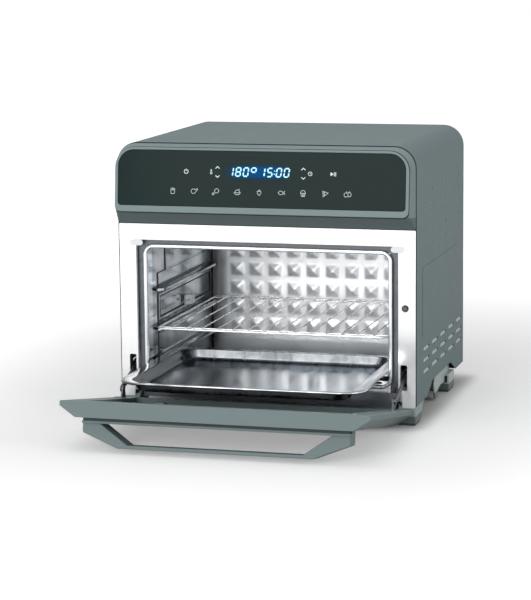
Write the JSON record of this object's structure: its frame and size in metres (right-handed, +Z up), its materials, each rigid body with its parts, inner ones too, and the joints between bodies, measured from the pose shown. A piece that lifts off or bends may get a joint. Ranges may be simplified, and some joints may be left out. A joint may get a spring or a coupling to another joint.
{
  "type": "toaster oven",
  "caption": "Countertop toaster oven with its glazed drop-down door open on a wire rack and a dark baking tray, a touch display head and short feet.",
  "frame": {"origin": "centre of the bounding box at the height of the worktop under the feet, with the door open", "axes": "+X to the right of the user who faces the oven, +Y to the back, +Z up; the door opens towards -Y"},
  "size_m": [0.38, 0.5358, 0.342],
  "materials": {
    "housing_paint": "satin",
    "polished_steel": "polished",
    "liner_steel": "bright annealed",
    "zinc_sheet": "dark plated",
    "heater_steel": "dull",
    "ceramic": "matte",
    "tray_enamel": "gloss enamel",
    "wire_steel": "bright",
    "door_paint": "satin",
    "door_glass": "clear dark",
    "head_paint": "satin",
    "black_glass": "gloss",
    "black_plastic": "matte",
    "foot_plastic": "matte",
    "foot_rubber": "matte",
    "white_bumper": "satin",
    "steel": "plain",
    "motor_metal": "dull",
    "board": "satin",
    "fan_metal": "plain"
  },
  "bodies": {
    "housing": {"outer_cover": "housing_paint", "front_frame": "polished_steel", "bulkhead": "zinc_sheet", "cavity_rim": "polished_steel", "cavity_left_wall": "liner_steel", "cavity_right_wall": "liner_steel", "cavity_ceiling": "liner_steel", "cavity_floor": "liner_steel", "cavity_back": "liner_steel", "lower_heaters": "heater_steel", "heater_clips": "steel", "heater_insulators": "ceramic", "probe_clip": "steel", "probe": "steel", "fan_guard": "liner_steel", "ring_heater": "heater_steel", "fan_duct": "zinc_sheet", "fan_motor": "motor_metal", "base_pan": "zinc_sheet", "rear_panel": "zinc_sheet", "cord_gland": "black_plastic", "control_bezel": "head_paint", "panel_glass": "black_glass", "display_module": "black_plastic", "touch_board": "board", "power_board": "board", "hinge_brackets": "steel", "bumpers": "white_bumper", "switch_body": "black_plastic", "front_left_foot": "foot_plastic", "front_right_foot": "foot_plastic", "rear_left_foot": "foot_plastic", "rear_right_foot": "foot_plastic", "foot_pads": "foot_rubber", "case_screws": "steel"},
    "door": {"door_frame": "door_paint", "inner_pane": "door_glass", "outer_pane": "door_glass", "pane_clips": "steel", "handle": "door_paint", "handle_screws": "steel", "hinge_pins": "steel", "arm_lugs": "steel", "arm_rivets": "steel"},
    "stay_left": {"stay_arm_left": "steel"},
    "stay_right": {"stay_arm_right": "steel"},
    "tray": {"baking_tray": "tray_enamel"},
    "rack": {"wire_rack": "wire_steel"},
    "fan_rotor": {"convection_fan": "fan_metal", "motor_shaft": "steel", "cooling_fan": "fan_metal"},
    "switch_pin": {"switch_plunger": "steel"}
  },
  "joints": [
    {"name": "door_hinge", "type": "hinge", "parent": "housing", "child": "door", "pos_m": [0, -0.04358, 0.014], "axis": [-1, 0, 0], "range_deg": [0, 79.5]},
    {"name": "tray_slide", "type": "slide", "parent": "housing", "child": "tray", "axis": [0, 1, 0], "range_m": [0, 0.1764]},
    {"name": "switch_slide", "type": "slide", "parent": "housing", "child": "switch_pin", "axis": [0, 1, 0], "range_m": [0, 0.0054]},
    {"name": "arm_pivot_left", "type": "hinge", "parent": "door", "child": "stay_left", "pos_m": [-0.1737, -0.08039, 0.03984], "axis": [1, 0, 0], "range_deg": [0, 86.5]},
    {"name": "arm_pivot_right", "type": "hinge", "parent": "door", "child": "stay_right", "pos_m": [0.1737, -0.08039, 0.03984], "axis": [1, 0, 0], "range_deg": [0, 86.5]},
    {"name": "rack_slide", "type": "slide", "parent": "housing", "child": "rack", "axis": [0, -1, 0], "range_m": [0, 0.014]},
    {"name": "fan_spin", "type": "hinge", "parent": "housing", "child": "fan_rotor", "pos_m": [0, 0.11592, 0.282], "axis": [0, 0, 1], "continuous": true}
  ],
  "couplings": [
    {"joint": "tray_slide", "follows": "door_hinge", "m_per_rad": 0.12684},
    {"joint": "switch_slide", "follows": "door_hinge", "m_per_rad": 0.00382},
    {"joint": "arm_pivot_left", "follows": "door_hinge", "ratio": 1.083},
    {"joint": "arm_pivot_right", "follows": "door_hinge", "ratio": 1.083}
  ]
}
